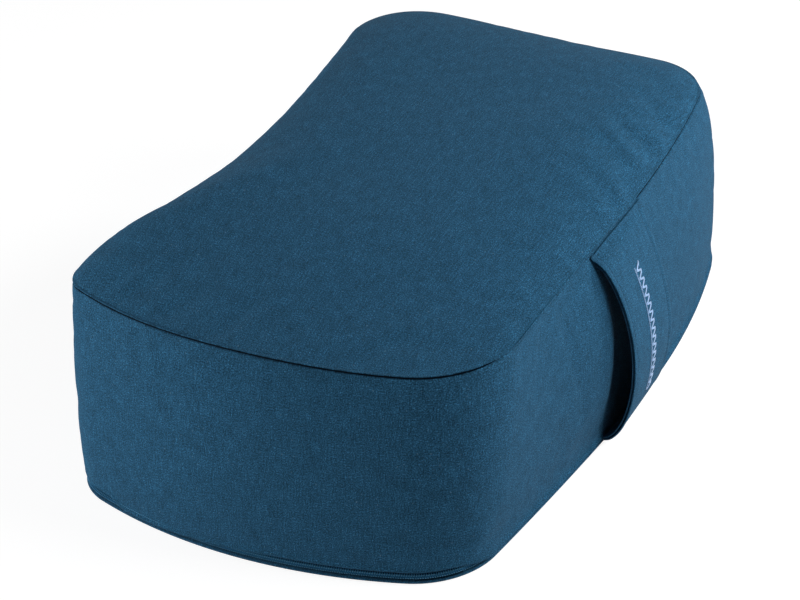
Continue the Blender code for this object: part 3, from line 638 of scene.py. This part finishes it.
def wall_points(z, inset):
    """The band's points right round at given heights, upright at the hem, then leaning in."""
    share = np.clip((z - HEM_TOP) / (seam_z - HEM_TOP), 0, 1)[:, None]
    out = base_out * (1 - share) + top_out * share
    out /= np.linalg.norm(out, axis=1, keepdims=True)
    belly = fullness(share, top_rim[:, :1], top_rim[:, 1:2])
    place = base_rim * (1 - share) + top_rim * share + out * (belly - inset)
    return np.column_stack([place, z])


low_z, high_z = foot_z + ABOVE_HEM, seam_z - BELOW_SEAM
plain_rows = [low_z + (high_z - low_z) * share for share in np.linspace(0, 1, BAND_ROWS)]
wall = np.concatenate([wall_points(z, 0.0) for z in plain_rows])
wall_faces = ring_faces(BAND_ROWS, ROUND)
held = list(range(ROUND)) + list(range(len(wall) - ROUND, len(wall)))
kept_share, lowest, highest = BAND_RIPPLES
band_ripples = np.clip(cloth_ripples(wall, wall_faces, held, BAND_GROWTH) * kept_share, lowest, highest)


def band_waves(points):
    """Slow upright hollows in the band, and short gathers under its seam."""
    found = np.zeros(len(points))
    for i, (x, y, z) in enumerate(points):
        run = i % ROUND
        turn = math.tau * run / ROUND
        ring = (math.cos(turn) * 3.2, math.sin(turn) * 3.2)
        slow = noise.noise(Vector((*ring, z * 8)))
        short = noise.noise(Vector((ring[0] * 7, ring[1] * 7, z * 5 + 7)))
        under = max(0.0, seam_z[run] - z)
        fade = min(1.0, under / 0.004)
        found[i] = fade * (slow * SLOW_WAVES + short * SHORT_GATHERS * math.exp(-under / GATHERS_REACH))
        if x > 0.1 and abs(y - BEHIND_STRAP[0]) < BEHIND_STRAP[1]:
            found[i] *= CALM_THERE
    return found


wall = wall + outward(wall, wall_faces) * (band_ripples + band_waves(wall))[:, None]
rows = [wall_points(foot_z + over, (inset * fold_depth)[:, None]) for inset, over in reversed(FOOT_TURN)]
rows += [wall[r * ROUND:(r + 1) * ROUND] for r in range(BAND_ROWS)]
rows += [wall_points(seam_z + over * seam_gape, inset) for inset, over in reversed(TOP_TURN)]
points = np.concatenate(rows)
faces = ring_faces(len(rows), ROUND)
round_length = lengths_along(np.concatenate([base_rim, base_rim[:1]]))
places = []
for r in range(len(rows) - 1):
    for i in range(ROUND):
        low, high = points[r * ROUND + i, 2], points[(r + 1) * ROUND + i, 2]
        start, stop = round_length[i:i + 2]
        places += [(start, low), (stop, low), (stop, high), (start, high)]
side_band = cloth_piece("side_band_cloth", points, faces, places, canvas)
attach(side_band, "cushion")
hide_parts("cover_side_band")


# The base panel: canvas again, flat on the floor, its turned edge a low roll below the zip.
BASE_TURN = ((0.0030, 0.0013), (0.0018, 0.0013), (0.0010, 0.0012), (0.0005, 0.0009), (0.0004, 0.0006),
             (0.0006, 0.0002), (0.0012, 0.0000), (0.0030, 0.0000))
rings = [np.column_stack([base_rim - base_out * inset, np.full(ROUND, z)]) for inset, z in BASE_TURN]
middle = panel_middle(rings[-1][:, :2])[1:-1, 1:-1].reshape(-1, 2)
points = np.concatenate(rings + [np.column_stack([middle, np.zeros(len(middle))])])
faces = [face[::-1] for face in panel_faces(len(BASE_TURN))]
places = [points[i, :2] for face in faces for i in face]
base_panel = cloth_piece("base_panel_cloth", points, faces, places, canvas)
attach(base_panel, "cushion")
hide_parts("cover_base_panel")


# The zip: two rows of fine nylon coil, closed, on woven tapes behind the hem, sewn down loop by loop.
# The rows stand a hair apart round the near left corner, where the slider's web runs between them.
CHAIN_HEIGHT = 0.0048
COIL_PITCH, COIL_WIRE, COIL_SEGMENTS, COIL_SIDES = 0.00150, 0.00035, 12, 5
# How far the loops reach up and down from the chain's middle, and how deep they lie behind the cover's face
COIL_REACH, COIL_BACK = (-0.00012, 0.00190), (0.00112, 0.00182)
# How far the rows part, and over which lengths past the slider's place they close again
COIL_PARTING, PARTING_ENDS, PARTING_EASE = 0.00034, 0.012, 0.010
STATIONS_LEFT_BARE = 3
# The stitches over the loops: thickness, depth, how far the ends sink, height, slope, half length in pitches
TICK_THICK, TICK_DEPTH, TICK_SINK = 0.00018, 0.00072, 0.00025
TICK_HEIGHT, TICK_SLOPE, TICK_HALF = 0.00100, 0.0003, 0.30

chain = np.arange(-ZIP_END, ZIP_END + 1) % ROUND
chain_place, chain_out = base_rim[chain], base_out[chain]
chain_run = lengths_along(chain_place)
slider_run = chain_run[CORNER_STEPS]


def on_chain(run, depth, z):
    """Points along the chain, so far behind the cover's face."""
    place = np.stack([np.interp(run, chain_run, chain_place[:, k]) for k in (0, 1)], 1)
    out = np.stack([np.interp(run, chain_run, chain_out[:, k]) for k in (0, 1)], 1)
    out /= np.linalg.norm(out, axis=1, keepdims=True)
    return np.column_stack([place - out * np.reshape(depth, (-1, 1)), z])


def sleeve(along, girth):
    """Faces and map of closed rings with both ends shut, given their lengths along and round."""
    count, last = len(girth) - 1, len(along) - 1
    faces, places = ring_faces(len(along), count), []
    for r in range(last):
        for i in range(count):
            places += [(girth[i], along[r]), (girth[i + 1], along[r]),
                       (girth[i + 1], along[r + 1]), (girth[i], along[r + 1])]
    for end, order in ((0, range(count - 1, -1, -1)), (last, range(count))):
        faces.append(tuple(end * count + i for i in order))
        places += [(girth[i], along[end]) for i in order]
    return faces, places


def tube(path, radius, sides):
    """A round wire or thread along a path; the map runs along it and round it, in metres."""
    run = np.gradient(path, axis=0)
    run /= np.maximum(np.linalg.norm(run, axis=1, keepdims=True), 1e-12)
    up = np.tile(np.array([0.0, 0.0, 1.0]), (len(path), 1))
    up[np.abs(run[:, 2]) > 0.95] = (0.0, 1.0, 0.0)
    side = np.cross(run, up)
    side /= np.linalg.norm(side, axis=1, keepdims=True)
    over = np.cross(side, run)
    turns = [math.tau * k / sides for k in range(sides)]
    points = [path + (side * math.cos(turn) + over * math.sin(turn)) * radius for turn in turns]
    lap = math.tau * radius / sides
    faces, places = sleeve(lengths_along(path), [k * lap for k in range(sides + 1)])
    return np.stack(points, 1).reshape(-1, 3), faces, [(length, lap) for lap, length in places]


def many_tubes(name, tubes, finish):
    points, faces, places = [], [], []
    start = 0
    for some_points, some_faces, some_places in tubes:
        points.append(some_points)
        faces += [tuple(i + start for i in face) for face in some_faces]
        places += some_places
        start += len(some_points)
    return cloth_piece(name, np.concatenate(points), faces, places, finish)


def dress(node, finish):
    """Gives a solid that stays as it is its finish."""
    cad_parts[node].material_slots[0].link = "OBJECT"
    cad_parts[node].material_slots[0].material = finish


def yarn_group():
    tree, given, made = new_group("twisted_yarn", {"Yarn Place": None, "Twist Pitch": 0.0009},
                                  ("Shade", "Height"))
    split = add_node(tree, "ShaderNodeSeparateXYZ", {0: given["Yarn Place"]}).outputs
    turns = maths(tree, "DIVIDE", maths(tree, "ADD", split[0], split[1]), given["Twist Pitch"])
    ply = maths(tree, "SINE", maths(tree, "MULTIPLY", turns, math.tau))
    fuzz = noise_of(tree, given["Yarn Place"], 3500, 3)
    feed(tree, made, {"Shade": maths(tree, "MULTIPLY_ADD", ply, 0.16, fuzz),
                      "Height": maths(tree, "MULTIPLY_ADD", ply, 0.5, fuzz)})
    return tree


twisted_yarn = yarn_group()
YARN_CONTRAST, YARN_RELIEF = 0.7, 0.00006


def thread_material(name, colour, roughness, on_cloth_map=True, sheen=0.2, specular=0.5):
    made, tree = new_material(name)
    yarn = add_node(tree, "ShaderNodeGroup", {"Yarn Place": piece_place(tree, on_cloth_map)},
                    node_tree=twisted_yarn).outputs
    shade = ranged(tree, yarn["Shade"], 1 - YARN_CONTRAST / 2, 1 + YARN_CONTRAST / 2, clamp=False)
    feed(tree, tree.nodes["Principled BSDF"], {
        "Base Color": tinted(tree, colour, shade), "Normal": bumped(tree, yarn["Height"], YARN_RELIEF),
        "Roughness": roughness, "Specular IOR Level": specular, "Sheen Weight": sheen,
    })
    return made


def worn_group():
    """Faint scuffs and a fine grain for nylon and for plated metal."""
    tree, given, made = new_group("scuffed_surface", {"Grain Size": 0.0006}, ("Scuff", "Height"))
    place = piece_place(tree)
    grain = noise_of(tree, place, maths(tree, "DIVIDE", 1, given["Grain Size"]), 4)
    feed(tree, made, {"Scuff": noise_of(tree, place, 260, 5), "Height": grain})
    return tree


scuffed_surface = worn_group()
GRAIN_RELIEF = 0.00001


def hard_material(name, colour, roughness, metallic=0.0, grain=0.0006, specular=0.5):
    made, tree = new_material(name)
    wear = add_node(tree, "ShaderNodeGroup", {"Grain Size": grain}, node_tree=scuffed_surface).outputs
    feed(tree, tree.nodes["Principled BSDF"], {
        "Base Color": tinted(tree, colour, ranged(tree, wear["Scuff"], 0.75, 1.2)),
        "Roughness": ranged(tree, wear["Scuff"], roughness - 0.12, roughness + 0.15),
        "Normal": bumped(tree, wear["Height"], GRAIN_RELIEF),
        "Metallic": metallic, "Specular IOR Level": specular,
    })
    return made


coil_nylon = hard_material("petrol coil nylon", (0.028, 0.150, 0.290), 0.7, specular=0.08)
coil_thread = thread_material("coil sewing thread", (0.10, 0.30, 0.48), 0.7, sheen=0.0, specular=0.1)

for node, side in (("zip_coil_band_side", 1), ("zip_coil_base_side", -1)):
    first, last = chain_run[STATIONS_LEFT_BARE], chain_run[-1 - STATIONS_LEFT_BARE]
    turns = int((last - first) / COIL_PITCH)
    lap = np.arange(turns * COIL_SEGMENTS + 1) / COIL_SEGMENTS
    stagger = 0.5 if side > 0 else 0.0
    half_lap = 2 * (lap % 1) - 1
    steps_on = np.floor(lap) + 0.5 + 0.5 * np.sign(half_lap) * np.abs(half_lap) ** 3
    run = first + (steps_on + stagger) * COIL_PITCH
    low, high = COIL_REACH[0] + COIL_WIRE, COIL_REACH[1] - COIL_WIRE
    parted = COIL_PARTING * np.clip((slider_run + PARTING_ENDS - run) / PARTING_EASE, 0, 1)
    rise = (low + high) / 2 - (high - low) / 2 * np.cos(math.tau * lap)
    rise = rise + parted * (1 - rise / high)
    depth = sum(COIL_BACK) / 2 - (COIL_BACK[1] - COIL_BACK[0]) / 2 * np.sin(math.tau * lap)
    wire = tube(on_chain(run, depth, CHAIN_HEIGHT + side * rise), COIL_WIRE, COIL_SIDES)
    coil = many_tubes(node + "_loops", [wire], coil_nylon)
    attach(coil, "cushion")
    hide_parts(node)
    ticks = []
    step = np.linspace(-TICK_HALF, TICK_HALF, 5)
    height = CHAIN_HEIGHT + side * (TICK_HEIGHT + step * TICK_SLOPE)
    sunk = TICK_DEPTH + TICK_SINK * np.abs(step / TICK_HALF) ** 3
    for k in range(turns):
        at = first + (k + 0.5 + stagger) * COIL_PITCH
        ticks.append(tube(on_chain(at + step * COIL_PITCH, sunk, height), TICK_THICK, COIL_SIDES))
    sewn = many_tubes(node + "_stitches", ticks, coil_thread)
    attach(sewn, "cushion")

# The tapes are petrol cloth, darkened well below the canvas as painted shade for the shadow under the hem and
# between the coil's loops.
tape_cloth_shaded = cloth_material("petrol zip tape darkened as shade", (0.006, 0.024, 0.050), (0.012, 0.04, 0.07), pitch=0.0004,
                            slub=0.004, on_cloth_map=False)
for node in ("zip_tape_band_side", "zip_tape_base_side"):
    dress(node, tape_cloth_shaded)


# Slider, pull tab and end stops: small nickel-plated zinc castings with softened edges.
# The slider lies at the closed end, past the near left corner, with its tab flat along the band.
zip_metal = hard_material("nickel plate", (0.28, 0.285, 0.29), 0.40, metallic=1.0, grain=0.0003)


def softened(node, body, width):
    """The same casting with its edges rounded off."""
    piece = put(node + "_casting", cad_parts[node].data.copy())
    round_off = piece.modifiers.new("Edges", "BEVEL")
    round_off.width = width
    round_off.segments = 2
    round_off.limit_method = "ANGLE"
    piece.data.materials.clear()
    piece.data.materials.append(zip_metal)
    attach(piece, body)
    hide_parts(node)


softened("zip_slider", "zip_slider", 0.00012)
softened("zip_pull_tab", "zip_pull_tab", 0.00015)
softened("zip_stop_closed_end", "cushion", 0.00020)
softened("zip_stop_open_end", "cushion", 0.00020)


# The carry strap: two layers of the canvas, turned in at their long edges and topstitched together.
# Both ends are caught in the cover's seams, and it bows off the band further at its near edge.
STRAP_CENTRE, STRAP_WIDTH = 0.0025, 0.072
STRAP_BOW_NEAR, STRAP_BOW_FAR = 0.0268, 0.0178
STRAP_FULLNESS_NEAR, STRAP_FULLNESS_FAR, STRAP_FAR_SAG = 0.52, 0.75, 1.25
STRAP_TOP_DROP, STRAP_BASE_RISE, STRAP_STANDOFF = 0.0002, 0.0025, 0.0005
# The seam nips the strap's top end: over this share of its length, by this much
STRAP_TUCK = (0.06, 0.0045)
STRAP_LAYERS = (("strap_outer", 0.0, 0.00095), ("strap_lining", 0.00190, 0.00260))
# How much of its thickness the strap keeps where it is pressed to the band
STRAP_PRESSED = 0.22
TOPSTITCH_INSET = 0.0055
# The strap's steps, and how much closer they stand at its ends
STRAP_ALONG, STRAP_ACROSS, STRAP_CROWDING = 96, 44, 0.35

right_side = slice(END_STEPS + CORNER_STEPS, 2 * QUARTER_STEPS - END_STEPS - CORNER_STEPS + 1)


def side_reach(rim, y):
    return np.interp(y, rim[right_side, 1], rim[right_side, 0])


def strap_line(u, v):
    """The strap's outer face, without its folds: u from the top seam down, v from near to far."""
    y = STRAP_CENTRE + STRAP_WIDTH * (v - 0.5)
    u = np.clip(u, 0, 1)
    near_bow = STRAP_BOW_NEAR * np.maximum(np.sin(np.pi * u), 0) ** STRAP_FULLNESS_NEAR
    far_bow = STRAP_BOW_FAR * np.maximum(np.sin(np.pi * u ** STRAP_FAR_SAG), 0) ** STRAP_FULLNESS_FAR
    bow = near_bow * (1 - v) + far_bow * v
    x_top, x_base = side_reach(top_rim, y), side_reach(base_rim, y)
    z_top = seam_level(x_top, y) - STRAP_TOP_DROP
    x = x_top * (1 - u) + x_base * u + STRAP_STANDOFF + bow
    return np.stack([x, y, z_top * (1 - u) + STRAP_BASE_RISE * u], -1)


def strap_place(u, v, depth):
    step = 0.01
    run = strap_line(np.minimum(u + step, 1), v) - strap_line(np.maximum(u - step, 0), v)
    inward = np.stack([run[..., 2], np.zeros_like(run[..., 0]), -run[..., 0]], -1)
    inward /= np.linalg.norm(inward, axis=-1, keepdims=True)
    place = strap_line(u, v) + inward * np.asarray(depth)[..., None]
    x_top, x_base = side_reach(top_rim, place[..., 1]), side_reach(base_rim, place[..., 1])
    z_top = seam_level(x_top, place[..., 1])
    share = np.clip((place[..., 2] - HEM_TOP) / (z_top - HEM_TOP), 0, 1)
    wall_x = x_base * (1 - share) + x_top * share + fullness(share, x_top, place[..., 1])
    tuck = np.clip(1 - np.asarray(u) / STRAP_TUCK[0], 0, 1) ** 2
    place[..., 0] = place[..., 0] - STRAP_TUCK[1] * tuck
    pressed = wall_x + STRAP_STANDOFF + (STRAP_LAYERS[1][2] - np.asarray(depth)) * STRAP_PRESSED
    place[..., 0] = np.maximum(place[..., 0], pressed)
    return place


def face_swell(v):
    """How the canvas dips at a topstitch line and swells beside it."""
    from_edge = STRAP_WIDTH * np.minimum(v, 1 - v)
    dip = np.exp(-((from_edge - TOPSTITCH_INSET) / 0.0012) ** 2)
    roll = np.exp(-((from_edge - 0.0026) / 0.0017) ** 2)
    return 0.00030 * roll - 0.00042 * dip


even, turned = np.linspace(0, 1, STRAP_ALONG + 1), np.linspace(0, np.pi, STRAP_ALONG + 1)
strap_u = (1 - np.cos(turned)) / 2 * STRAP_CROWDING + even * (1 - STRAP_CROWDING)
across = np.linspace(0, 1, STRAP_ACROSS + 1)
edge_turn = np.linspace(0, np.pi, 7)[1:-1]
strap_run = lengths_along(strap_place(strap_u, np.full(STRAP_ALONG + 1, 0.5), np.zeros(STRAP_ALONG + 1)))
for node, outer_depth, inner_depth in STRAP_LAYERS:
    half = (inner_depth - outer_depth) / 2
    margin = half / STRAP_WIDTH
    lanes = margin + across * (1 - 2 * margin)
    swell = face_swell(lanes)
    middle = outer_depth + half
    section = [(v, outer_depth - s) for v, s in zip(lanes, swell)]
    section += [(1 - margin + margin * math.sin(t), middle - half * math.cos(t)) for t in edge_turn]
    section += [(v, inner_depth + s) for v, s in zip(lanes[::-1], swell[::-1] * 0.6)]
    section += [(margin - margin * math.sin(t), middle + half * math.cos(t)) for t in edge_turn]
    lane, sunk = np.array(section).T
    rings = [strap_place(np.full(len(lane), u), lane, sunk) for u in strap_u]
    girth = lengths_along(rings[STRAP_ALONG // 2])
    faces, places = sleeve(strap_run, np.append(girth, girth[-1] + 0.0005))
    strap = cloth_piece(node + "_canvas", np.concatenate(rings), faces, places, canvas)
    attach(strap, "cushion")
    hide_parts(node)


# Topstitching along both edges of the strap: matching thread in short stitches that sink into the canvas.
STITCH_LENGTH, STITCH_GAP, STITCH_THICK, STITCH_SUNK = 0.0027, 0.0005, 0.00019, 0.00040
STITCHED_FROM = 0.003
matching_thread = thread_material("petrol sewing thread", (0.014, 0.056, 0.108), 0.6, sheen=0.02,
                                  specular=0.12)

strap_length = strap_run[-1]
for node, lane in (("strap_topstitch_near", TOPSTITCH_INSET / STRAP_WIDTH),
                   ("strap_topstitch_far", 1 - TOPSTITCH_INSET / STRAP_WIDTH)):
    stitches = []
    for k in range(int((strap_length - 2 * STITCHED_FROM) / (STITCH_LENGTH + STITCH_GAP))):
        start = STITCHED_FROM + k * (STITCH_LENGTH + STITCH_GAP)
        t = np.linspace(0, 1, 8)
        u = np.interp(start + t * STITCH_LENGTH, strap_run, strap_u)
        lift = STITCH_THICK * 0.6 - 0.00035 * np.abs(2 * t - 1) ** 5
        path = strap_place(u, np.full(8, lane), STITCH_SUNK - lift)
        stitches.append(tube(path, STITCH_THICK, 6))
    thread = many_tubes(node + "_thread", stitches, matching_thread)
    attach(thread, "cushion")
    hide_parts(node)


# A plain zigzag in pale blue satin thread down the middle of the strap, with a straight line beside it.
ORNAMENT_SPAN, ORNAMENT_SWING, ORNAMENT_LEG = 0.090, 0.0036, 0.0029
LINE_BESIDE, LINE_STITCH, LINE_THREADS = 0.0050, 0.0024, 3
SATIN_THREADS, SATIN_THICK, SATIN_SPACING = 4, 0.00020, 1.7
satin = thread_material("pale blue satin thread", (0.24, 0.40, 0.66), 0.4, sheen=0.35)

strokes = []
start = strap_length * 0.5 - ORNAMENT_SPAN / 2


def satin_stroke(run, lanes, lift):
    path = strap_place(np.interp(run, strap_run, strap_u), lanes, -lift)
    strokes.append(tube(path, SATIN_THICK, 5))


for k in range(int(ORNAMENT_SPAN / ORNAMENT_LEG)):
    for n in range(SATIN_THREADS):
        shift = (n - (SATIN_THREADS - 1) / 2) * SATIN_THICK * SATIN_SPACING
        t = np.linspace(0, 1, 7)
        side = ORNAMENT_SWING * (-1) ** k * (1 - 2 * t)
        lift = SATIN_THICK * 1.4 - 0.0004 * np.abs(2 * t - 1) ** 6
        satin_stroke(start + (k + t) * ORNAMENT_LEG + shift, 0.5 + side / STRAP_WIDTH, lift)
for k in range(int(ORNAMENT_SPAN / LINE_STITCH)):
    for n in range(LINE_THREADS):
        t = np.linspace(0, 1, 6)
        lift = SATIN_THICK * 1.2 - 0.0003 * np.abs(2 * t - 1) ** 6
        lane = 0.5 - (LINE_BESIDE + (n - 1) * SATIN_THICK * SATIN_SPACING) / STRAP_WIDTH
        satin_stroke(start + (k + t * 0.96) * LINE_STITCH, np.full(6, lane), lift)
ornament = many_tubes("strap_ornament_satin", strokes, satin)
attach(ornament, "cushion")
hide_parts("strap_ornament_stitch")


# The top seam's thread, drawn deep between the two turned edges and coloured near black: painted shade for
# the shadow in the seam's groove, which shows as a dark line. It is out of sight where the seam is pressed
# shut.
SEAM_CORD, SEAM_SUNK, SEAM_SUNK_SHUT, SEAM_CORD_DROP = 0.00060, 0.00080, 0.0022, 0.00005
# Painted shade: the thread's near-black colour stands in for the groove's own shadow.
seam_shade_thread = thread_material("seam thread in painted shade", (0.0022, 0.0085, 0.0165), 0.9, sheen=0.0, specular=0.03)
sunk = SEAM_SUNK_SHUT + (SEAM_SUNK - SEAM_SUNK_SHUT) * seam_open
seam_path = np.column_stack([top_rim - top_out * sunk[:, None], seam_z - SEAM_CORD_DROP])
seam_path = np.concatenate([seam_path, seam_path[:1]])
seam_cord = many_tubes("top_seam_thread_cord", [tube(seam_path, SEAM_CORD, 8)], seam_shade_thread)
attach(seam_cord, "cushion")
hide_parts("top_seam_thread")


# Inside: the base seam's thread, the inner bag of undyed cotton in three panels, and the husks that fill it.
# None of it shows while the cover is closed.
HUSKS_PER_METRE, HUSK_RELIEF = 190, 0.0015
HUSK_COLOURS = ((0.055, 0.028, 0.014, 1), (0.21, 0.13, 0.07, 1))
hidden_thread = thread_material("petrol seam thread", (0.018, 0.060, 0.110), 0.6, on_cloth_map=False)
bag_cotton = cloth_material("undyed bag cotton", (0.62, 0.56, 0.45), (0.42, 0.34, 0.22), pitch=0.0005,
                            slub=0.012, on_cloth_map=False, contrast=0.6)


def husk_material():
    made, tree = new_material("loose husks")
    husk = add_node(tree, "ShaderNodeTexVoronoi", {
        "Vector": piece_place(tree), "Scale": HUSKS_PER_METRE}).outputs
    split = add_node(tree, "ShaderNodeSeparateColor", {0: husk["Color"]})
    tint = add_node(tree, "ShaderNodeValToRGB", {0: split.outputs[0]})
    for stop, colour in zip(tint.color_ramp.elements, HUSK_COLOURS):
        stop.color = colour
    bump = add_node(tree, "ShaderNodeBump", {"Distance": HUSK_RELIEF, "Height": husk["Distance"]},
                    invert=True)
    feed(tree, tree.nodes["Principled BSDF"], {
        "Base Color": tint.outputs[0], "Normal": bump.outputs[0], "Roughness": 0.55})
    return made


dress("base_seam_thread", hidden_thread)
for node in ("liner_top_panel", "liner_side_band", "liner_base_panel"):
    dress(node, bag_cotton)
dress("husk_filling", husk_material())
